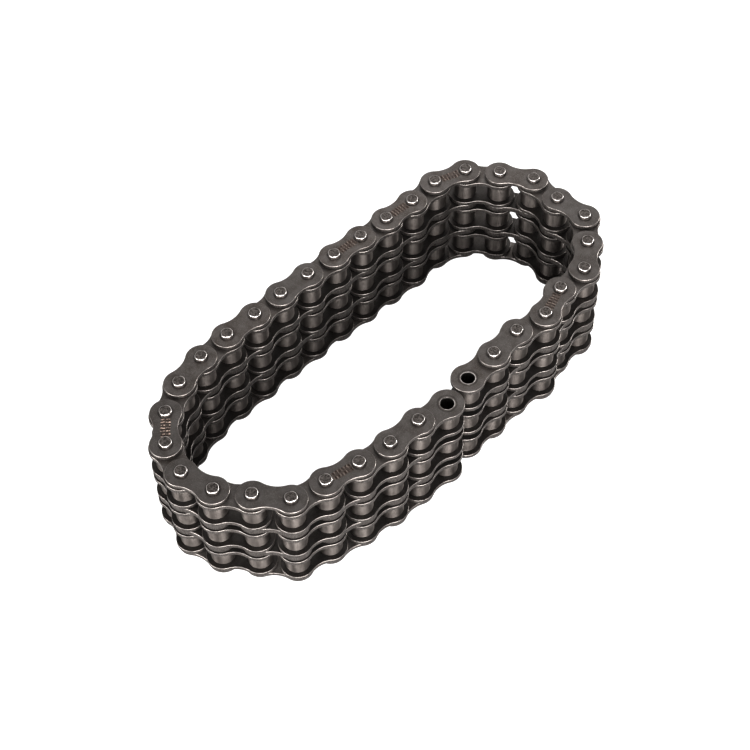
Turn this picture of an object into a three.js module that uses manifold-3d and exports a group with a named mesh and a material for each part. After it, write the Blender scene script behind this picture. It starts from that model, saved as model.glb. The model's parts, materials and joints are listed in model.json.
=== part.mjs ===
// Triple-strand bush roller chain, 12.7 mm pitch, lying as an open loop that stands on its pin ends.
// Millimetres, +Z up along the pins. The origin is the middle of the loop's box, at the lower pin ends.
import * as THREE from "three";
import { mergeVertices } from "three/addons/utils/BufferGeometryUtils.js";
import Module from "manifold-3d";

const wasm = await Module();
wasm.setup();

// Chain size: pitch along the chain, pitch between strands, and the strands side by side.
const PITCH = 12.7;
const STRAND_PITCH = 13.92;
const STRANDS = 3;

// Turning pieces.
const PIN_RADIUS = 2.225;
const PIN_LENGTH = 44.9;
const PIN_CHAMFER = 0.35;
const BUSH_RADIUS = 3.0;
const ROLLER_RADIUS = 4.255;
const ROLLER_LENGTH = 7.55;

// Link plates: head radius, half width at the waist, and thickness.
const INNER_PLATE = { head: 5.9, waist: 4.4, thickness: 1.6 };
const OUTER_PLATE = { head: 5.46, waist: 4.05, thickness: 1.5 };
const MIDDLE_PLATE = { head: 5.46, waist: 4.05, thickness: 2.2 };

// Widths across one strand, and the play between a strand and the outer plates.
const INSIDE_WIDTH = 7.85;
const SIDE_PLAY = 0.205;

// Facets on heads, waists and round pieces.
const HEAD_STEPS = 5;
const WAIST_STEPS = 2;
const ROUND_SIDES = 8;

// Gaps that keep neighbouring solids apart.
const FIT_GAP = 0.1;
const RUNNING_GAP = 0.03;

// The posts that join the strands of a one-piece roller link, out of the middle plates' way.
const POST = { along: 1.2, across: 4.0, sunk: 0.4 };

// Direction of the first link, and the bend at each pin after it, in whole degrees.
const FIRST_HEADING = 176;
const FRONT_LEFT_RUN = [3, -6, -4, -2];
const LEFT_TURN = [-39, -1, -24, -30, -23, -21, -15, -9];
const BACK_RUN = [-5, 3, -4, 1, -2, 1, -1, 6];
const RIGHT_TURN = [-22, -33, -9, -35, 8, -47, -10, -35];
const FRONT_RIGHT_RUN = [17, -26, 13, -4];
const BENDS = [...FRONT_LEFT_RUN, ...LEFT_TURN, ...BACK_RUN, ...RIGHT_TURN, ...FRONT_RIGHT_RUN];

// Links are numbered from the free end; these three are built from their separate pieces.
const SPLIT_ROLLER_LINKS = [1];
const SPLIT_PIN_LINKS = [2, 4];

const STRAND_WIDTH = INSIDE_WIDTH + 2 * INNER_PLATE.thickness;
const MID_HEIGHT = PIN_LENGTH / 2;
const strandHeights = [];
for (let i = 0; i < STRANDS; i++) {
  strandHeights.push(MID_HEIGHT + (i - (STRANDS - 1) / 2) * STRAND_PITCH);
}
const middlePlateHeights = [];
for (let i = 0; i + 1 < STRANDS; i++) {
  middlePlateHeights.push((strandHeights[i] + strandHeights[i + 1]) / 2);
}
const OUTER_PLATE_OFFSET =
  ((STRANDS - 1) * STRAND_PITCH + STRAND_WIDTH + OUTER_PLATE.thickness) / 2 + SIDE_PLAY;
const outerPlateHeights = [MID_HEIGHT - OUTER_PLATE_OFFSET, MID_HEIGHT + OUTER_PLATE_OFFSET];

const plateSteel = new THREE.MeshStandardMaterial({
  color: 0x4c4947,
  roughness: 0.45,
  metalness: 0.85,
});
const rollerSteel = new THREE.MeshStandardMaterial({
  color: 0x8b8380,
  roughness: 0.35,
  metalness: 0.9,
});
const pinSteel = new THREE.MeshStandardMaterial({
  color: 0x9a938f,
  roughness: 0.3,
  metalness: 0.9,
});

// Corner radius of a round piece's polygon whose flats stand the given distance from its centre.
function cornerRadius(flatRadius) {
  return flatRadius / Math.cos(Math.PI / ROUND_SIDES);
}

function arcPoints(x, y, radius, from, to, steps) {
  const points = [];
  for (let i = 0; i <= steps; i++) {
    const angle = from + ((to - from) * i) / steps;
    points.push(new THREE.Vector2(x + radius * Math.cos(angle), y + radius * Math.sin(angle)));
  }
  return points;
}

// Outline of a figure-of-eight plate: two round heads on the pins, joined by two hollow waist arcs.
function plateShape(plate) {
  const half = PITCH / 2;
  const waistRadius =
    (half ** 2 + plate.waist ** 2 - plate.head ** 2) / (2 * (plate.head - plate.waist));
  const waistCentre = plate.waist + waistRadius;
  const tangent = Math.atan2(waistCentre, half);
  const headArc = Math.PI - tangent;
  // Corners stand half as far outside the true circle as the flats lie inside it.
  const corner = (plate.head * (1 + 1 / Math.cos(headArc / HEAD_STEPS))) / 2;
  const right = arcPoints(PITCH, 0, corner, -headArc, headArc, HEAD_STEPS);
  const upper = arcPoints(half, waistCentre, waistRadius, -tangent, -headArc, WAIST_STEPS);
  const left = arcPoints(0, 0, corner, tangent, tangent + 2 * headArc, HEAD_STEPS);
  const lower = arcPoints(half, -waistCentre, waistRadius, headArc, tangent, WAIST_STEPS);
  return new THREE.Shape([...right, ...upper.slice(1, -1), ...left, ...lower.slice(1, -1)]);
}

function circlePath(x, radius) {
  const turn = Math.PI / ROUND_SIDES;
  const corners = arcPoints(x, 0, radius, turn, turn + 2 * Math.PI, ROUND_SIDES);
  return new THREE.Path(corners.slice(0, -1));
}

// A link plate centred on the given height, with a hole at each pin where a radius is given.
function plateGeometry(plate, height, holeRadius = 0) {
  const shape = plateShape(plate);
  if (holeRadius > 0) {
    for (const x of [0, PITCH]) {
      shape.holes.push(circlePath(x, holeRadius));
    }
  }
  const geometry = new THREE.ExtrudeGeometry(shape, {
    depth: plate.thickness,
    bevelEnabled: false,
  });
  return geometry.translate(0, 0, height - plate.thickness / 2);
}

// An upright prism centred on the given point.
function prismGeometry(x, height, radius, length) {
  const geometry = new THREE.CylinderGeometry(radius, radius, length, ROUND_SIDES);
  return geometry
    .rotateX(Math.PI / 2)
    .rotateZ(Math.PI / ROUND_SIDES)
    .translate(x, 0, height);
}

// An upright ring: a bush or a roller.
function ringGeometry(x, height, outer, inner, length) {
  const half = length / 2;
  const profile = [
    new THREE.Vector2(inner, -half),
    new THREE.Vector2(outer, -half),
    new THREE.Vector2(outer, half),
    new THREE.Vector2(inner, half),
    new THREE.Vector2(inner, -half),
  ];
  const geometry = new THREE.LatheGeometry(profile, ROUND_SIDES);
  return geometry
    .rotateX(Math.PI / 2)
    .rotateZ(Math.PI / ROUND_SIDES)
    .translate(x, 0, height);
}

// A pin with chamfered ends.
function pinGeometry(x) {
  const half = PIN_LENGTH / 2;
  const profile = [
    new THREE.Vector2(0, -half),
    new THREE.Vector2(PIN_RADIUS - PIN_CHAMFER, -half),
    new THREE.Vector2(PIN_RADIUS, PIN_CHAMFER - half),
    new THREE.Vector2(PIN_RADIUS, half - PIN_CHAMFER),
    new THREE.Vector2(PIN_RADIUS - PIN_CHAMFER, half),
    new THREE.Vector2(0, half),
  ];
  const geometry = new THREE.LatheGeometry(profile, ROUND_SIDES);
  return geometry.rotateX(Math.PI / 2).translate(x, 0, MID_HEIGHT);
}

function solidOf(geometry) {
  const bare = geometry.clone();
  bare.deleteAttribute("normal");
  bare.deleteAttribute("uv");
  const merged = mergeVertices(bare, 1e-4);
  return new wasm.Manifold(
    new wasm.Mesh({
      numProp: 3,
      vertProperties: merged.attributes.position.array,
      triVerts: new Uint32Array(merged.index.array),
    }),
  );
}

function geometryOf(solid) {
  const mesh = solid.getMesh();
  const geometry = new THREE.BufferGeometry();
  geometry.setAttribute("position", new THREE.BufferAttribute(mesh.vertProperties, 3));
  geometry.setIndex(new THREE.BufferAttribute(mesh.triVerts, 1));
  geometry.computeVertexNormals();
  return geometry;
}

function joined(geometries) {
  return geometries.map(solidOf).reduce((whole, piece) => whole.add(piece));
}

// A roller link in one piece: plates, bushes and rollers of all strands, bored for the pins.
function rollerLinkGeometry() {
  const pieces = [];
  const plateOffset = (INSIDE_WIDTH + INNER_PLATE.thickness) / 2;
  for (const height of strandHeights) {
    pieces.push(plateGeometry(INNER_PLATE, height - plateOffset));
    pieces.push(plateGeometry(INNER_PLATE, height + plateOffset));
    for (const x of [0, PITCH]) {
      pieces.push(prismGeometry(x, height, ROLLER_RADIUS, INSIDE_WIDTH + INNER_PLATE.thickness));
    }
  }
  for (const height of middlePlateHeights) {
    const postHeight = STRAND_PITCH - STRAND_WIDTH + 2 * POST.sunk;
    const post = new THREE.BoxGeometry(POST.along, POST.across, postHeight);
    pieces.push(post.translate(PITCH / 2, 0, height));
  }
  let link = joined(pieces);
  const boreRadius = cornerRadius(PIN_RADIUS + RUNNING_GAP);
  for (const x of [0, PITCH]) {
    link = link.subtract(solidOf(prismGeometry(x, MID_HEIGHT, boreRadius, PIN_LENGTH)));
  }
  return geometryOf(link);
}

// A pin link in one piece: two pins riveted in the outer plates, through the middle plates.
function pinLinkGeometry() {
  const pieces = [];
  for (const height of outerPlateHeights) {
    pieces.push(plateGeometry(OUTER_PLATE, height));
  }
  for (const height of middlePlateHeights) {
    pieces.push(plateGeometry(MIDDLE_PLATE, height));
  }
  for (const x of [0, PITCH]) {
    pieces.push(prismGeometry(x, MID_HEIGHT, PIN_RADIUS, PIN_LENGTH));
  }
  return geometryOf(joined(pieces));
}

function addMesh(group, name, geometry, material) {
  const mesh = new THREE.Mesh(geometry, material.clone());
  mesh.name = name;
  group.add(mesh);
}

// A roller link as it comes apart on a bench. Strand 1 is the lowest; side a is nearer the free end.
function addRollerLinkPieces(group, prefix) {
  const plateOffset = (INSIDE_WIDTH + INNER_PLATE.thickness) / 2;
  const holeRadius = BUSH_RADIUS + FIT_GAP;
  const boreRadius = cornerRadius(PIN_RADIUS + RUNNING_GAP);
  const rollerBore = cornerRadius(BUSH_RADIUS + RUNNING_GAP);
  strandHeights.forEach((height, i) => {
    const strand = "_strand" + (i + 1);
    const lower = plateGeometry(INNER_PLATE, height - plateOffset, holeRadius);
    const upper = plateGeometry(INNER_PLATE, height + plateOffset, holeRadius);
    addMesh(group, prefix + "_lower_plate" + strand, lower, plateSteel);
    addMesh(group, prefix + "_upper_plate" + strand, upper, plateSteel);
    for (const [side, x] of [["a", 0], ["b", PITCH]]) {
      const bush = ringGeometry(x, height, BUSH_RADIUS, boreRadius, STRAND_WIDTH);
      const roller = ringGeometry(x, height, ROLLER_RADIUS, rollerBore, ROLLER_LENGTH);
      addMesh(group, prefix + "_bush" + strand + side, bush, rollerSteel);
      addMesh(group, prefix + "_roller" + strand + side, roller, rollerSteel);
    }
  });
}

// A pin link as it comes apart on a bench.
function addPinLinkPieces(group, prefix) {
  const holeRadius = cornerRadius(PIN_RADIUS + FIT_GAP);
  const sides = ["lower", "upper"];
  sides.forEach((side, i) => {
    const outer = plateGeometry(OUTER_PLATE, outerPlateHeights[i], holeRadius);
    const middle = plateGeometry(MIDDLE_PLATE, middlePlateHeights[i], holeRadius);
    addMesh(group, prefix + "_" + side + "_outer_plate", outer, plateSteel);
    addMesh(group, prefix + "_" + side + "_middle_plate", middle, plateSteel);
  });
  addMesh(group, prefix + "_pin_a", pinGeometry(0), pinSteel);
  addMesh(group, prefix + "_pin_b", pinGeometry(PITCH), pinSteel);
}

function linkName(kind, number) {
  return kind + "_link_" + String(number).padStart(2, "0");
}

const wholeRollerLink = rollerLinkGeometry();
const wholePinLink = pinLinkGeometry();

// The loop, walked link by link from the free end. Odd links carry rollers, even links carry pins.
const loop = new THREE.Group();
const start = new THREE.Vector3();
let heading = FIRST_HEADING;
for (let number = 1; number <= BENDS.length + 1; number++) {
  const link = new THREE.Group();
  link.position.copy(start);
  link.rotation.z = THREE.MathUtils.degToRad(heading);
  if (number % 2 === 1) {
    const name = linkName("roller", number);
    if (SPLIT_ROLLER_LINKS.includes(number)) {
      addRollerLinkPieces(link, name);
    } else {
      addMesh(link, name, wholeRollerLink, plateSteel);
    }
  } else {
    const name = linkName("pin", number);
    if (SPLIT_PIN_LINKS.includes(number)) {
      addPinLinkPieces(link, name);
    } else {
      addMesh(link, name, wholePinLink, plateSteel);
    }
  }
  loop.add(link);
  start.add(new THREE.Vector3(PITCH, 0, 0).applyEuler(link.rotation));
  heading += BENDS[number - 1] ?? 0;
}

// The origin goes to the middle of the loop's box, at the pins' lower ends.
const box = new THREE.Box3().setFromObject(loop, true);
const centre = box.getCenter(new THREE.Vector3());
loop.position.set(-centre.x, -centre.y, -box.min.z);

const chain = new THREE.Group();
chain.add(loop);

export default chain;
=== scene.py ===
import json
import math

import bpy
from mathutils import Matrix, Vector
from mathutils.geometry import tessellate_polygon

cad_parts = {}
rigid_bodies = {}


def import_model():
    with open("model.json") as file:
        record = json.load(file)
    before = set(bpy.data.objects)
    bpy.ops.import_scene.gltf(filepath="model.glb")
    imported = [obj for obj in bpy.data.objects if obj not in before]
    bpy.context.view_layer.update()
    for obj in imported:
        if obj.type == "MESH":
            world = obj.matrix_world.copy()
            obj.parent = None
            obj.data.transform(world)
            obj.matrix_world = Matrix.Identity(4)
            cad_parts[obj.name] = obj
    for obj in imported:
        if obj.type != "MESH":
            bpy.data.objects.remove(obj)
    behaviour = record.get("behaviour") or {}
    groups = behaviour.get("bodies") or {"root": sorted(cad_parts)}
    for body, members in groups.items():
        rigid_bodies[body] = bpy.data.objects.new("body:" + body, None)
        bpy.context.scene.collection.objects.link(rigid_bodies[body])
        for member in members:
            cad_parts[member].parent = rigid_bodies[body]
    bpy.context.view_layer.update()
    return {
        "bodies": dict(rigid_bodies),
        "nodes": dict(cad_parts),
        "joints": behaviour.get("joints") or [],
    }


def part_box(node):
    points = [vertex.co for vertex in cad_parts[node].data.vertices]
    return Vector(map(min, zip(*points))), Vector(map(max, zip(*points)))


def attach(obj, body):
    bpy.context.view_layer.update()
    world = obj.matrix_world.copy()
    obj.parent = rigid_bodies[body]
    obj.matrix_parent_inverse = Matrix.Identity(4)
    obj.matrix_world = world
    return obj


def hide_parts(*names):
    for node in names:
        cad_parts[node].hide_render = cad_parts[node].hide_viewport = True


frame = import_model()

MM = 0.001

# ---------------------------------------------------------------- sizes taken from the frame

FIRST_ROLLER_LINK = "roller_link_01"
FIRST_PIN_LINK = "pin_link_02"
STRANDS = (1, 2, 3)


def span(node):
    """Lowest and highest z of a CAD node."""
    low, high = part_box(node)
    return low.z, high.z


def middle(node):
    low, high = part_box(node)
    return (low + high) / 2


PIN_LENGTH = span(FIRST_PIN_LINK + "_pin_a")[1] - span(FIRST_PIN_LINK + "_pin_a")[0]
LOWER_PLATES = [span(f"{FIRST_ROLLER_LINK}_lower_plate_strand{i}") for i in STRANDS]
UPPER_PLATES = [span(f"{FIRST_ROLLER_LINK}_upper_plate_strand{i}") for i in STRANDS]
BUSHES = [span(f"{FIRST_ROLLER_LINK}_bush_strand{i}a") for i in STRANDS]
ROLLERS = [span(f"{FIRST_ROLLER_LINK}_roller_strand{i}a") for i in STRANDS]
OUTER_PLATES = [span(f"{FIRST_PIN_LINK}_{side}_outer_plate") for side in ("lower", "upper")]
MIDDLE_PLATES = [span(f"{FIRST_PIN_LINK}_{side}_middle_plate") for side in ("lower", "upper")]

# Pin axes along the chain: the free bore, the joints in order, and the other free bore.
bends = [j for j in frame["joints"] if j["name"].startswith("bend_")]
axes = [Vector(j["pos_m"]).xy for j in sorted(bends, key=lambda j: j["name"])]
first_bore = middle(FIRST_ROLLER_LINK + "_bush_strand1a").xy
last_link = f"roller_link_{len(axes) + 1:02d}"
last_bore = 2 * middle(last_link).xy - axes[-1]
axes = [first_bore, *axes, last_bore]
PITCH = (axes[2] - axes[1]).length

# ---------------------------------------------------------------- round sizes of the real pieces

# Radii. An edge, rim or mouth is how far that corner is rounded, and the dish is a pin end's hollow.
# A plate's waist is half its width where it is narrowest.
PIN_RADIUS = 2.225 * MM
PIN_RIM = 0.38 * MM
PIN_DISH = 0.05 * MM
BUSH_RADIUS = 3.0 * MM
BUSH_EDGE = 0.08 * MM
BUSH_BORE = 2.29 * MM
BUSH_MOUTH = 0.28 * MM
ROLLER_RADIUS = 4.255 * MM
ROLLER_EDGE = 0.35 * MM
ROLLER_BORE = 3.06 * MM
ROLLER_MOUTH = 0.2 * MM
INNER_PLATE = {"head": 5.9 * MM, "waist": 4.4 * MM, "hole": BUSH_RADIUS, "edge": 0.15 * MM}
OUTER_PLATE = {"head": 5.46 * MM, "waist": 4.05 * MM, "hole": PIN_RADIUS, "edge": 0.2 * MM}

# How finely the meshes are made: sides of a round piece, and steps along a plate's arcs and a rim.
ROUND_SIDES = 64
HEAD_STEPS = 44
WAIST_STEPS = 16
HOLE_STEPS = 40
RIM_STEPS = 4
PIN_RIM_STEPS = 6

# ---------------------------------------------------------------- mesh helpers


def finished_mesh(name, verts, faces, flat=()):
    """A mesh with outward faces, smooth apart from the faces whose numbers are in flat."""
    mesh = bpy.data.meshes.new(name)
    mesh.from_pydata(verts, [], faces)
    mesh.validate()
    flat = set(flat)
    for polygon in mesh.polygons:
        polygon.use_smooth = polygon.index not in flat
    mesh.update()
    return mesh


def rounded(radius, height, size, steps, toward_r, toward_z):
    """Points of a quarter round that turns a corner at (radius, height), from its wall to its end face."""
    points = []
    for i in range(steps + 1):
        turn = math.pi / 2 * i / steps
        r = radius + toward_r * size * (1 - math.cos(turn))
        z = height + toward_z * size * (1 - math.sin(turn))
        points.append((r, z))
    return points


def lathe(name, profile, closed):
    """Turns (radius, height) points round z. A closed profile makes a ring; an open one ends on the axis."""
    sides = ROUND_SIDES
    verts = []
    rings = []
    for r, z in profile:
        if r == 0:
            rings.append([len(verts)])
            verts.append((0, 0, z))
            continue
        rings.append(list(range(len(verts), len(verts) + sides)))
        for i in range(sides):
            turn = 2 * math.pi * i / sides
            verts.append((r * math.cos(turn), r * math.sin(turn), z))
    faces = []
    pairs = list(zip(rings, rings[1:] + rings[:1])) if closed else list(zip(rings, rings[1:]))
    for low, high in pairs:
        for i in range(sides):
            j = (i + 1) % sides
            if len(low) == 1:
                faces.append((low[0], high[j], high[i]))
            elif len(high) == 1:
                faces.append((low[i], low[j], high[0]))
            else:
                faces.append((low[i], low[j], high[j], high[i]))
    return finished_mesh(name, verts, faces)


def arc(x, y, radius, start, end, steps):
    """Points of an arc, without its last point."""
    points = []
    for i in range(steps):
        turn = start + (end - start) * i / steps
        points.append((x + radius * math.cos(turn), y + radius * math.sin(turn)))
    return points


def plate_outline(head, waist, inset):
    """The figure-of-eight outline round pins at x = 0 and x = PITCH, drawn in by inset."""
    half = PITCH / 2
    radius = (half**2 + waist**2 - head**2) / (2 * (head - waist))
    centre = waist + radius
    tangent = math.atan2(centre, half)
    sweep = math.pi - tangent
    head -= inset
    radius += inset
    points = arc(PITCH, 0, head, -sweep, sweep, HEAD_STEPS)
    points += arc(half, centre, radius, -tangent, -sweep, WAIST_STEPS)
    points += arc(0, 0, head, tangent, tangent + 2 * sweep, HEAD_STEPS)
    points += arc(half, -centre, radius, sweep, tangent, WAIST_STEPS)
    return points


def hole_outline(x, radius, inset):
    """A hole's edge, run clockwise; inset opens it, as its chamfer does."""
    return arc(x, 0, radius + inset, 0, -2 * math.pi, HOLE_STEPS)


def plate_mesh(name, plate, thickness):
    """A link plate lying on z = 0, both faces with rounded edges and chamfered holes."""
    edge = plate["edge"]
    levels = []
    for i in range(RIM_STEPS + 1):
        turn = math.pi / 2 * i / RIM_STEPS
        levels.append((edge * (1 - math.sin(turn)), edge * (1 - math.cos(turn))))
    levels += [(inset, thickness - z) for inset, z in reversed(levels)]
    outlines = [
        lambda inset: plate_outline(plate["head"], plate["waist"], inset),
        lambda inset: hole_outline(0, plate["hole"], inset / 2),
        lambda inset: hole_outline(PITCH, plate["hole"], inset / 2),
    ]
    verts = []
    faces = []
    caps = {0: [], len(levels) - 1: []}
    for outline in outlines:
        rings = []
        for level, (inset, z) in enumerate(levels):
            points = outline(inset)
            rings.append(range(len(verts), len(verts) + len(points)))
            verts.extend((x, y, z) for x, y in points)
            if level in caps:
                caps[level].append(rings[-1])
        for low, high in zip(rings, rings[1:]):
            count = len(low)
            for i in range(count):
                j = (i + 1) % count
                faces.append((low[i], low[j], high[j], high[i]))
    flat = []
    for level, loops in caps.items():
        corners = [i for loop in loops for i in loop]
        triangles = tessellate_polygon([[Vector(verts[i]) for i in loop] for loop in loops])
        for triangle in triangles:
            a, b, c = (Vector(verts[corners[i]]) for i in triangle)
            up = (b - a).cross(c - a).z > 0
            face = [corners[i] for i in triangle]
            flat.append(len(faces))
            faces.append(face if up == (level > 0) else face[::-1])
    return finished_mesh(name, verts, faces, flat)


def ring_mesh(name, outer, inner, length, outer_edge, inner_edge):
    """A ring standing on z = 0, its outer and inner rims rounded."""
    profile = rounded(outer, 0, outer_edge, RIM_STEPS, -1, 1)[::-1]
    profile += rounded(outer, length, outer_edge, RIM_STEPS, -1, -1)
    profile += rounded(inner, length, inner_edge, RIM_STEPS, 1, -1)[::-1]
    profile += rounded(inner, 0, inner_edge, RIM_STEPS, 1, 1)
    return lathe(name, profile, closed=True)


# The hollow in a pin's end: at which share of its radius, and how many times PIN_DISH it lies deep.
HOLLOW = ((0.7, 1.0), (0.3, 1.5), (0, 1.5))

# The blows that stake a pin's end: where each one falls round the rim, as an angle, and its strength.
# A blow of strength 1 draws the rim in by a share of its radius and sinks it.
STAKES = ((0.3, 1.0), (1.9, 0.7), (3.4, 0.9), (5.0, 0.6))
STAKE_WIDTH = 0.3
STAKE_SHARE = 0.08
STAKE_SINK = 0.08 * MM
STAKE_REACH = 2 * PIN_RIM


def pin_mesh(name):
    """A pin on z = 0: a ground shank whose ends are peened flat and staked in from four sides."""
    top = rounded(PIN_RADIUS, PIN_LENGTH, PIN_RIM, PIN_RIM_STEPS, -1, -1)
    top += [(PIN_RADIUS * share, PIN_LENGTH - depth * PIN_DISH) for share, depth in HOLLOW]
    bottom = [(r, PIN_LENGTH - z) for r, z in reversed(top)]
    mesh = lathe(name, bottom + top, closed=False)
    for vertex in mesh.vertices:
        x, y, z = vertex.co
        upper = z > PIN_LENGTH / 2
        above = z - (PIN_LENGTH - STAKE_REACH) if upper else STAKE_REACH - z
        if above <= 0:
            continue
        turn = math.atan2(y, x) % (2 * math.pi)
        share = math.hypot(x, y) / PIN_RADIUS
        dent = 0
        for angle, depth in STAKES:
            away = (turn - angle + math.pi) % (2 * math.pi) - math.pi
            dent = max(dent, depth * math.exp(-((away / STAKE_WIDTH) ** 2)))
        dent *= share**3 * min(1, above / PIN_RIM)
        inward = 1 - STAKE_SHARE * dent
        sink = STAKE_SINK * dent
        vertex.co = (x * inward, y * inward, z - sink if upper else z + sink)
    return mesh


# ---------------------------------------------------------------- materials


# How far, at most, a piece's wear pattern is moved from that of its twins.
WEAR_SHIFT = 0.37


class Nodes:
    """A small helper that adds nodes to a material and joins them up."""

    def __init__(self, name):
        self.material = bpy.data.materials.new(name)
        self.material.use_nodes = True
        self.tree = self.material.node_tree
        self.shader = self.tree.nodes["Principled BSDF"]

    def add(self, kind, inputs=None, **settings):
        node = self.tree.nodes.new(kind)
        for key, value in settings.items():
            setattr(node, key, value)
        for key, value in (inputs or {}).items():
            if isinstance(value, bpy.types.NodeSocket):
                self.tree.links.new(value, node.inputs[key])
            else:
                node.inputs[key].default_value = value
        return node

    def maths(self, operation, a, b=0.0, c=0.0):
        inputs = {0: a, 1: b, 2: c}
        return self.add("ShaderNodeMath", inputs, operation=operation).outputs[0]

    def ramp(self, value, low, high, to_low=0.0, to_high=1.0):
        inputs = {"Value": value, "From Min": low, "From Max": high, "To Min": to_low, "To Max": to_high}
        return self.add("ShaderNodeMapRange", inputs, clamp=True).outputs["Result"]

    def mix(self, factor, a, b):
        node = self.tree.nodes.new("ShaderNodeMix")
        node.data_type = "RGBA"
        for key, value in (("Factor_Float", factor), ("A_Color", a), ("B_Color", b)):
            socket = next(s for s in node.inputs if s.identifier == key)
            if isinstance(value, bpy.types.NodeSocket):
                self.tree.links.new(value, socket)
            else:
                socket.default_value = value
        return next(s for s in node.outputs if s.identifier == "Result_Color")

    def band(self, value, rise, fall):
        """1 between two values: it comes in over the pair of numbers in rise and goes out over fall."""
        return self.maths("MULTIPLY", self.ramp(value, *rise), self.ramp(value, *reversed(fall)))

    def noise(self, vector, scale, detail=3.0, roughness=0.6):
        """Noise from 0 to 1, with scale features to the metre."""
        inputs = {"Vector": vector, "Scale": scale, "Detail": detail, "Roughness": roughness}
        return self.add("ShaderNodeTexNoise", inputs).outputs["Fac"]

    def stretched(self, vector, x, y, z):
        """The point scaled along its axes: a noise read there is drawn out where the scale is small."""
        node = self.add("ShaderNodeVectorMath", {0: vector, 1: (x, y, z)}, operation="MULTIPLY")
        return node.outputs["Vector"]

    def upright(self):
        """1 on a piece's flat faces, 0 on its walls, and between them on its rounded rims."""
        normal = self.add("ShaderNodeTexCoord").outputs["Normal"]
        return self.maths("ABSOLUTE", self.add("ShaderNodeSeparateXYZ", {0: normal}).outputs["Z"])

    def distance(self, x, y):
        """Distance of (x, y) from (0, 0)."""
        return self.maths("SQRT", self.maths("MULTIPLY_ADD", y, y, self.maths("MULTIPLY", x, x)))

    def place(self):
        """A point on the piece, that point moved so that no two pieces wear alike, and the piece's chance."""
        point = self.add("ShaderNodeTexCoord").outputs["Object"]
        chance = self.add("ShaderNodeObjectInfo").outputs["Random"]
        shift = self.maths("MULTIPLY", chance, WEAR_SHIFT)
        moved = self.add("ShaderNodeVectorMath", {0: point, 1: shift}, operation="ADD")
        return point, moved.outputs["Vector"], chance

    def finish(self, color, roughness, height, strength, distance):
        self.tree.links.new(color, self.shader.inputs["Base Color"])
        self.tree.links.new(roughness, self.shader.inputs["Roughness"])
        inputs = {"Height": height, "Strength": strength, "Distance": distance}
        bump = self.add("ShaderNodeBump", inputs)
        self.tree.links.new(bump.outputs["Normal"], self.shader.inputs["Normal"])
        return self.material


def grey(value, warmth=0.1):
    """A grey that leans to brown by a share called warmth."""
    return (value * (1 + warmth), value, value * (1 - 0.6 * warmth), 1)


def plate_material(name, hole, painted_shade_factor=1.0, stroke=None):
    """Blackened steel: speckled flat faces, sheared side walls, and bright rims between them, worn and with a
    painted highlight.

    A dark ring lies round what is pressed in the holes: grime, and painted shade where the parts meet. A
    shade factor under 1 darkens the faces with painted shade, for the plates that lie down between the
    rollers and the strands.
    stroke is the colour of the strokes in a worn stamping, if there is one.
    """
    n = Nodes(name)
    n.shader.inputs["Metallic"].default_value = 0.9
    point, moved, chance = n.place()
    up = n.upright()
    cloud = n.noise(moved, scale=260, detail=4)
    speckle = n.noise(moved, scale=2600, roughness=0.7)
    grain = n.noise(moved, scale=9000, detail=2)
    away = past_hole(n, point, hole)
    # The flat faces, darkened by the shade factor as painted shade on the plates that lie down in the chain.
    face = n.mix(n.ramp(cloud, 0.35, 0.65), grey(0.075 * painted_shade_factor, 0.17), grey(0.127 * painted_shade_factor))
    face = n.mix(n.ramp(speckle, 0.5, 0.8, 0.0, 0.7), face, grey(0.28 * painted_shade_factor))
    face = n.mix(n.ramp(chance, 0.0, 1.0, 0.0, 0.35), face, grey(0.11 * painted_shade_factor, 0.05))
    # A dark ring round what is pressed in the holes: grime, and painted shade where the parts meet.
    border = n.maths("MULTIPLY_ADD", cloud, 0.8 * MM, n.maths("ADD", away, -0.4 * MM))
    face = n.mix(n.ramp(border, 0.1 * MM, 0.75 * MM, 0.6, 0.0), face, grey(0.03))
    # The sheared walls, streaked along the thickness.
    streaks = n.noise(n.stretched(moved, 1.0, 1.0, 0.12), scale=5200, roughness=0.7)
    wall = n.mix(n.ramp(streaks, 0.35, 0.7), grey(0.06, 0.14), grey(0.2, 0.1))
    color = n.mix(n.ramp(up, 0.2, 0.6), wall, face)
    # The rims, made lighter by wear and by a painted highlight, which the holes don't have.
    worn = n.ramp(n.noise(moved, scale=700, detail=4), 0.3, 0.6, 0.45, 1.0)
    worn = n.maths("MULTIPLY", worn, n.ramp(away, 0.3 * MM, 0.5 * MM))
    rim_wear_and_highlight = n.maths("MULTIPLY", n.band(up, (0.1, 0.3), (0.9, 0.97)), worn)
    color = n.mix(rim_wear_and_highlight, color, grey(0.29))
    height = n.maths("MULTIPLY_ADD", speckle, 0.6, n.maths("MULTIPLY", grain, 0.3))
    height = n.maths("MULTIPLY_ADD", streaks, n.ramp(up, 0.6, 0.2, 0.0, 0.9), height)
    if stroke:
        color, height = stamped(n, point, moved, up, color, height, stroke)
    rough = n.ramp(speckle, 0.3, 0.7, 0.38, 0.56)
    rough = n.maths("MULTIPLY_ADD", rim_wear_and_highlight, -0.12, rough)
    return n.finish(color, rough, height, strength=0.35, distance=0.12 * MM)


def past_hole(n, point, hole):
    """Distance of a point on a plate from the edge of the nearer hole, whose radius is hole."""
    parts = n.add("ShaderNodeSeparateXYZ", {0: point})
    beside = n.maths("ABSOLUTE", n.maths("SUBTRACT", parts.outputs["X"], PITCH / 2))
    beside = n.maths("SUBTRACT", beside, PITCH / 2)
    return n.maths("SUBTRACT", n.distance(beside, parts.outputs["Y"]), hole)


STROKE_PITCH = 1.2 * MM


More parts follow.
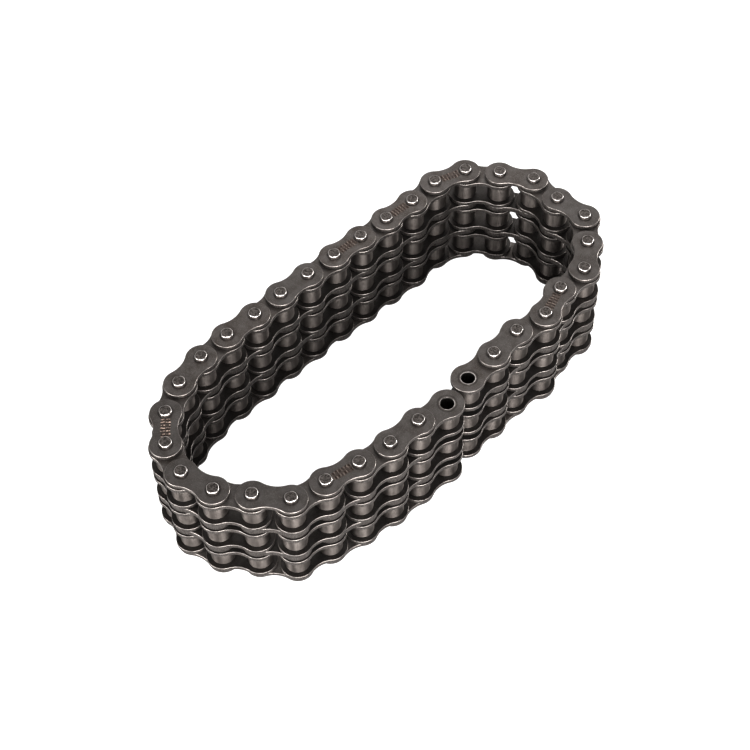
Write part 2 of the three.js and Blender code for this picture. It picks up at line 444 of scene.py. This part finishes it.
def stamped(n, point, moved, up, color, height, stroke):
    """A worn, unreadable stamping between the pins: two rows of short lit strokes with shade beside them."""
    parts = n.add("ShaderNodeSeparateXYZ", {0: point})
    wander = n.maths("MULTIPLY_ADD", n.noise(moved, scale=900, detail=1), 0.7 * MM, -0.35 * MM)
    x = n.maths("ADD", parts.outputs["X"], wander)
    y = n.maths("ADD", parts.outputs["Y"], wander)
    along = n.maths("ABSOLUTE", n.maths("SUBTRACT", x, PITCH / 2))
    across = n.maths("ABSOLUTE", y)
    patch = n.maths("MULTIPLY", n.ramp(along, 3.8 * MM, 3.4 * MM), n.ramp(across, 1.75 * MM, 1.4 * MM))
    patch = n.maths("MULTIPLY", patch, n.ramp(up, 0.95, 0.99))
    wave = n.maths("SINE", n.maths("MULTIPLY", x, 2 * math.pi / STROKE_PITCH))
    worn = n.maths("MULTIPLY", n.ramp(n.noise(moved, scale=1100, detail=2), 0.4, 0.56), patch)
    worn = n.maths("MULTIPLY", n.ramp(across, 0.05 * MM, 0.35 * MM), worn)
    lit = n.maths("MULTIPLY", n.ramp(wave, 0.4, 0.85), worn)
    shade = n.maths("MULTIPLY", n.ramp(wave, -0.1, -0.7), worn)
    color = n.mix(n.maths("MULTIPLY", patch, 0.4), color, (0.08, 0.048, 0.035, 1))
    color = n.mix(n.maths("MULTIPLY", shade, 0.7), color, (0.026, 0.017, 0.014, 1))
    color = n.mix(n.maths("MULTIPLY", lit, 0.9), color, stroke)
    return color, n.maths("MULTIPLY_ADD", shade, -1.2, height)


def roller_material():
    """Ground steel with a sheen drawn out along the roller's axis, oily clouds, and rims made brighter by
    wear and a painted highlight.
    """
    n = Nodes("roller_steel")
    n.shader.inputs["Metallic"].default_value = 0.92
    n.shader.inputs["Anisotropic"].default_value = 0.8
    n.shader.inputs["Anisotropic Rotation"].default_value = 0.25
    tangent = n.add("ShaderNodeTangent", direction_type="RADIAL", axis="Z")
    n.tree.links.new(tangent.outputs["Tangent"], n.shader.inputs["Tangent"])
    moved, chance = n.place()[1:]
    rings = n.noise(n.stretched(moved, 0.1, 0.1, 1.0), scale=7000)
    streaks = n.noise(n.stretched(moved, 1.0, 1.0, 0.06), scale=650, detail=2, roughness=0.5)
    cloud = n.noise(moved, scale=420, detail=4)
    speckle = n.noise(moved, scale=3000, roughness=0.7)
    blend = n.maths("MULTIPLY_ADD", streaks, 0.6, n.maths("MULTIPLY", cloud, 0.4))
    dark, light, worn = grey(0.068, 0.14), grey(0.145, 0.12), grey(0.3)
    color = n.mix(n.ramp(blend, 0.35, 0.65), dark, light)
    color = n.mix(n.ramp(speckle, 0.55, 0.8, 0.0, 0.3), color, worn)
    color = n.mix(n.ramp(chance, 0.0, 1.0, 0.0, 0.35), color, dark)
    # The rims, made lighter by wear and by a painted highlight.
    rim_wear_and_highlight = n.band(n.upright(), (0.25, 0.5), (0.9, 0.99))
    color = n.mix(n.maths("MULTIPLY", rim_wear_and_highlight, 0.7), color, worn)
    rough = n.ramp(cloud, 0.3, 0.7, 0.52, 0.62)
    height = n.maths("MULTIPLY_ADD", rings, 0.2, speckle)
    return n.finish(color, rough, height, strength=0.08, distance=0.03 * MM)


def axis_distance(n, point):
    """Distance of a point from the piece's own z axis."""
    parts = n.add("ShaderNodeSeparateXYZ", {0: point})
    return n.distance(parts.outputs["X"], parts.outputs["Y"])


def bush_material():
    """A dull bush whose bore is painted dark as shade, with a bright lip at its mouth, worn and with a
    painted highlight.
    """
    n = Nodes("bush_steel")
    n.shader.inputs["Metallic"].default_value = 0.92
    point, moved = n.place()[:2]
    radius = axis_distance(n, point)
    speckle = n.noise(moved, scale=3000, roughness=0.7)
    worn = n.ramp(n.noise(moved, scale=400, detail=2), 0.4, 0.6, 0.1, 1.0)
    color = n.mix(n.ramp(speckle, 0.4, 0.7), grey(0.09, 0.14), grey(0.16, 0.12))
    # A painted highlight on the upper part of the mouth's rounding, broken up by wear.
    lip = n.ramp(radius, BUSH_BORE + 0.38 * MM, BUSH_BORE + 0.3 * MM)
    color = n.mix(n.maths("MULTIPLY", lip, worn), color, grey(0.7, 0.06))
    # Painted shade on the steep part of the mouth and down the bore.
    bore = n.ramp(radius, BUSH_BORE + 0.16 * MM, BUSH_BORE + 0.1 * MM)
    color = n.mix(bore, color, grey(0.035))
    rough = n.ramp(speckle, 0.3, 0.7, 0.32, 0.44)
    return n.finish(color, rough, speckle, strength=0.15, distance=0.05 * MM)


def pin_material():
    """A ground pin whose peened end is darker and mottled inside a bright rim, a painted highlight on its
    rounded shoulder.
    """
    n = Nodes("pin_steel")
    n.shader.inputs["Metallic"].default_value = 0.95
    point, moved = n.place()[:2]
    up = n.upright()
    inner = n.ramp(axis_distance(n, point), PIN_RADIUS - 0.305 * MM, PIN_RADIUS - 0.475 * MM)
    end = n.maths("MULTIPLY", n.ramp(up, 0.9, 0.99), inner)
    mottle = n.noise(moved, scale=1500, detail=4, roughness=0.7)
    fine = n.noise(moved, scale=5200, roughness=0.7)
    shank = n.mix(n.ramp(mottle, 0.3, 0.7), grey(0.2), grey(0.34))
    peened = n.mix(n.ramp(mottle, 0.38, 0.62), grey(0.04, 0.14), grey(0.165, 0.12))
    # A painted highlight on the rounded shoulder between the shank and the peened end.
    shoulder_highlight = n.band(up, (0.35, 0.6), (0.94, 0.99))
    color = n.mix(end, n.mix(shoulder_highlight, shank, grey(0.6, 0.06)), peened)
    rough = n.maths("MULTIPLY_ADD", end, 0.1, n.ramp(fine, 0.3, 0.7, 0.3, 0.42))
    height = n.maths("MULTIPLY_ADD", mottle, n.maths("MULTIPLY", end, 2), n.maths("MULTIPLY", fine, 0.3))
    return n.finish(color, rough, height, strength=0.3, distance=0.15 * MM)


outer_steel = plate_material("outer_plate_steel", PIN_RADIUS)
top_steel = plate_material("top_plate_steel", BUSH_RADIUS)
# The inner and middle plates get painted shade, as they lie down between the rollers and the strands.
inner_steel = plate_material("inner_plate_steel", BUSH_RADIUS, painted_shade_factor=0.5)
middle_steel = plate_material("middle_plate_steel", PIN_RADIUS, painted_shade_factor=0.5)
rusted_steel = plate_material("rusted_stamping_steel", PIN_RADIUS, stroke=(1.0, 0.78, 0.66, 1))
marked_steel = plate_material("worn_stamping_steel", PIN_RADIUS, stroke=(0.28, 0.23, 0.2, 1))
roller_steel = roller_material()
bush_steel = bush_material()
pin_steel = pin_material()

# ---------------------------------------------------------------- meshes shared by all links


def height_of(low_high):
    return low_high[1] - low_high[0]


def shaded(mesh, material):
    mesh.materials.append(material)
    return mesh


INNER_THICKNESS = height_of(LOWER_PLATES[0])
OUTER_THICKNESS = height_of(OUTER_PLATES[0])
MIDDLE_THICKNESS = height_of(MIDDLE_PLATES[0])
BUSH_LENGTH = height_of(BUSHES[0])
ROLLER_LENGTH = height_of(ROLLERS[0])

inner_plate = shaded(plate_mesh("inner_plate", INNER_PLATE, INNER_THICKNESS), inner_steel)
top_plate = shaded(plate_mesh("top_plate", INNER_PLATE, INNER_THICKNESS), top_steel)
outer_plate = shaded(plate_mesh("outer_plate", OUTER_PLATE, OUTER_THICKNESS), outer_steel)
marked_plate = shaded(plate_mesh("marked_plate", OUTER_PLATE, OUTER_THICKNESS), marked_steel)
rusted_plate = shaded(plate_mesh("rusted_plate", OUTER_PLATE, OUTER_THICKNESS), rusted_steel)
middle_plate = shaded(plate_mesh("middle_plate", OUTER_PLATE, MIDDLE_THICKNESS), middle_steel)
bush = ring_mesh("bush", BUSH_RADIUS, BUSH_BORE, BUSH_LENGTH, BUSH_EDGE, BUSH_MOUTH)
bush = shaded(bush, bush_steel)
roller = ring_mesh("roller", ROLLER_RADIUS, ROLLER_BORE, ROLLER_LENGTH, ROLLER_EDGE, ROLLER_MOUTH)
roller = shaded(roller, roller_steel)
pin = shaded(pin_mesh("pin"), pin_steel)

# ---------------------------------------------------------------- the chain, link by link

# Links whose upper outer plate carries a stamping, worn or with rust in it.
MARKED_LINKS = (4, 18, 20, 22, 30)
RUSTED_LINKS = (10,)


def put(name, mesh, place, body, nodes):
    """One piece of a link, riding on the link's body and standing for its CAD nodes."""
    piece = bpy.data.objects.new(name, mesh)
    bpy.context.scene.collection.objects.link(piece)
    piece.matrix_world = place
    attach(piece, body)
    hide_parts(*nodes)


def link_frame(number):
    """Stands at the link's first pin, with x along the link."""
    start, end = axes[number - 1], axes[number]
    heading = math.atan2(end.y - start.y, end.x - start.x)
    return Matrix.Translation((start.x, start.y, 0)) @ Matrix.Rotation(heading, 4, "Z")


def nodes_for(link, piece):
    """The CAD nodes that a piece stands for: its own in a link made of pieces, or else the whole link."""
    own = f"{link}_{piece}"
    return [own] if own in frame["nodes"] else [link]


def roller_link(number):
    link = f"roller_link_{number:02d}"
    place = link_frame(number)
    for strand, low, high, bushes, rollers in zip(STRANDS, LOWER_PLATES, UPPER_PLATES, BUSHES, ROLLERS):
        for side, z in (("lower", low[0]), ("upper", high[0])):
            part = f"{side}_plate_strand{strand}"
            mesh = top_plate if side == "upper" and strand == STRANDS[-1] else inner_plate
            at = place @ Matrix.Translation((0, 0, z))
            put(f"{link}.{part}", mesh, at, link, nodes_for(link, part))
        for end, x in (("a", 0), ("b", PITCH)):
            part = f"bush_strand{strand}{end}"
            at = place @ Matrix.Translation((x, 0, bushes[0]))
            put(f"{link}.{part}", bush, at, link, nodes_for(link, part))
            part = f"roller_strand{strand}{end}"
            body = f"{link}_{part}" if f"{link}_{part}" in frame["bodies"] else link
            at = place @ Matrix.Translation((x, 0, rollers[0]))
            put(f"{link}.{part}", roller, at, body, nodes_for(link, part))


# How far each pin is turned from the one before, so that no two show their stakes alike.
TURN_PER_LINK = 2.4
TURN_PER_PIN = 1.1


def pin_link(number):
    link = f"pin_link_{number:02d}"
    place = link_frame(number)
    marked = {**dict.fromkeys(MARKED_LINKS, marked_plate), **dict.fromkeys(RUSTED_LINKS, rusted_plate)}
    for side, outer, mid in zip(("lower", "upper"), OUTER_PLATES, MIDDLE_PLATES):
        mesh = marked.get(number, outer_plate) if side == "upper" else outer_plate
        part = f"{side}_outer_plate"
        at = place @ Matrix.Translation((0, 0, outer[0]))
        put(f"{link}.{part}", mesh, at, link, nodes_for(link, part))
        part = f"{side}_middle_plate"
        at = place @ Matrix.Translation((0, 0, mid[0]))
        put(f"{link}.{part}", middle_plate, at, link, nodes_for(link, part))
    for end, x in (("a", 0), ("b", PITCH)):
        part = f"pin_{end}"
        turn = TURN_PER_LINK * number + (TURN_PER_PIN if end == "b" else 0)
        at = place @ Matrix.Translation((x, 0, 0)) @ Matrix.Rotation(turn, 4, "Z")
        put(f"{link}.{part}", pin, at, link, nodes_for(link, part))


for number in range(1, len(axes)):
    if number % 2:
        roller_link(number)
    else:
        pin_link(number)

# ---------------------------------------------------------------- floor, light and camera


def stage_piece(name, verts, faces, albedo, glow):
    """A plain matt piece of the stage, with a little light of its own."""
    mesh = bpy.data.meshes.new(name)
    mesh.from_pydata(verts, [], faces)
    piece = bpy.data.objects.new(name, mesh)
    bpy.context.scene.collection.objects.link(piece)
    material = bpy.data.materials.new(name)
    material.use_nodes = True
    shader = material.node_tree.nodes["Principled BSDF"]
    shader.inputs["Base Color"].default_value = (albedo, albedo, albedo, 1)
    shader.inputs["Roughness"].default_value = 0.9
    shader.inputs["Specular IOR Level"].default_value = 0
    shader.inputs["Emission Color"].default_value = (1, 1, 1, 1)
    shader.inputs["Emission Strength"].default_value = glow
    mesh.materials.append(material)
    return piece


STAGE_RADIUS = 3.0
STAGE_SIDES = 64
# The floor lies just under the pins that the chain stands on, and the card just under the floor.
FLOOR_LEVEL = -0.2 * MM
CARD_LEVEL = -0.4 * MM
FLOOR_LOOK = {"albedo": 0.3, "glow": 0.8}
CARD_LOOK = {"albedo": 0.45, "glow": 0}


def stage_circle(z):
    """Points of a level circle round the whole stage."""
    turns = [2 * math.pi * i / STAGE_SIDES for i in range(STAGE_SIDES)]
    return [(STAGE_RADIUS * math.cos(t), STAGE_RADIUS * math.sin(t), z) for t in turns]


def studio_stage():
    """A pale floor and a round backdrop, which don't light the steel, and the grey card that it mirrors."""
    count = STAGE_SIDES
    low = stage_circle(FLOOR_LEVEL)
    high = stage_circle(STAGE_RADIUS)
    wall = [(i, (i + 1) % count, (i + 1) % count + count, i + count) for i in range(count)]
    floor = stage_piece("floor", low, [range(count)], **FLOOR_LOOK)
    backdrop = stage_piece("backdrop", low + high, wall, **FLOOR_LOOK)
    for piece in (floor, backdrop):
        piece.visible_diffuse = False
        piece.visible_glossy = False
        piece.visible_shadow = False
    card = stage_piece("bounce_card", stage_circle(CARD_LEVEL), [range(count)], **CARD_LOOK)
    card.visible_camera = False


def area_light(name, place, target, size, power):
    """A round soft lamp that points at target."""
    lamp = bpy.data.lights.new(name, "AREA")
    lamp.shape = "DISK"
    lamp.size = size
    lamp.energy = power
    light = bpy.data.objects.new(name, lamp)
    light.location = place
    light.rotation_euler = (Vector(target) - Vector(place)).to_track_quat("-Z", "Y").to_euler()
    bpy.context.scene.collection.objects.link(light)


def studio_world():
    """White all round, brightest at the horizon and softer overhead."""
    horizon, overhead, overhead_from = 0.7, 0.27, 0.35
    world = bpy.data.worlds.new("studio")
    world.use_nodes = True
    tree = world.node_tree
    background = tree.nodes["Background"]
    direction = tree.nodes.new("ShaderNodeTexCoord")
    height = tree.nodes.new("ShaderNodeSeparateXYZ")
    strength = tree.nodes.new("ShaderNodeMapRange")
    strength.inputs["From Min"].default_value = 0
    strength.inputs["From Max"].default_value = overhead_from
    strength.inputs["To Min"].default_value = horizon
    strength.inputs["To Max"].default_value = overhead
    background.inputs["Color"].default_value = (1, 1, 1, 1)
    tree.links.new(direction.outputs["Generated"], height.inputs[0])
    tree.links.new(height.outputs["Z"], strength.inputs["Value"])
    tree.links.new(strength.outputs["Result"], background.inputs["Strength"])
    bpy.context.scene.world = world


def photo_camera():
    """Looks at a point on the upper pin ends, at the tilt and distance of the product shot."""
    azimuth, elevation, roll = (math.radians(a) for a in (-42.93, 52.58, -1.70))
    target = Vector((-0.01692, -0.01291, PIN_LENGTH))
    distance = 0.5593
    flat = math.cos(elevation)
    back = Vector((math.sin(azimuth) * flat, -math.cos(azimuth) * flat, math.sin(elevation)))
    level = Vector((math.cos(azimuth), math.sin(azimuth), 0))
    upward = back.cross(level)
    right = math.cos(roll) * level + math.sin(roll) * upward
    up = -math.sin(roll) * level + math.cos(roll) * upward
    camera = bpy.data.objects.new("camera", bpy.data.cameras.new("camera"))
    camera.data.sensor_width = 36
    camera.data.lens = 80.37
    camera.data.clip_start = 0.01
    camera.data.clip_end = 20
    place = Matrix((right, up, back)).transposed().to_4x4()
    place.translation = target + back * distance
    camera.matrix_world = place
    bpy.context.scene.collection.objects.link(camera)
    bpy.context.scene.camera = camera


studio_stage()
studio_world()
area_light("key_softbox", place=(-0.43, -0.79, 0.27), target=(0, 0, 0.02), size=0.9, power=19.5)
area_light("left_softbox", place=(-0.87, 0.1, 0.2), target=(0, 0, 0.02), size=0.6, power=11.5)
area_light("right_softbox", place=(0.83, -0.35, 0.22), target=(0, 0, 0.02), size=0.4, power=5)
area_light("top_softbox", place=(0.48, 0.42, 0.6), target=(0.02, 0.02, 0.04), size=0.7, power=1.7)
area_light("fill_softbox", place=(-0.3, -0.5, 0.7), target=(0, 0.03, 0.02), size=0.5, power=3)
photo_camera()

# Developed with the contrast of a product shot.
view = bpy.context.scene.view_settings
view.view_transform = "Standard"
view.exposure = 0.3
view.gamma = 0.8
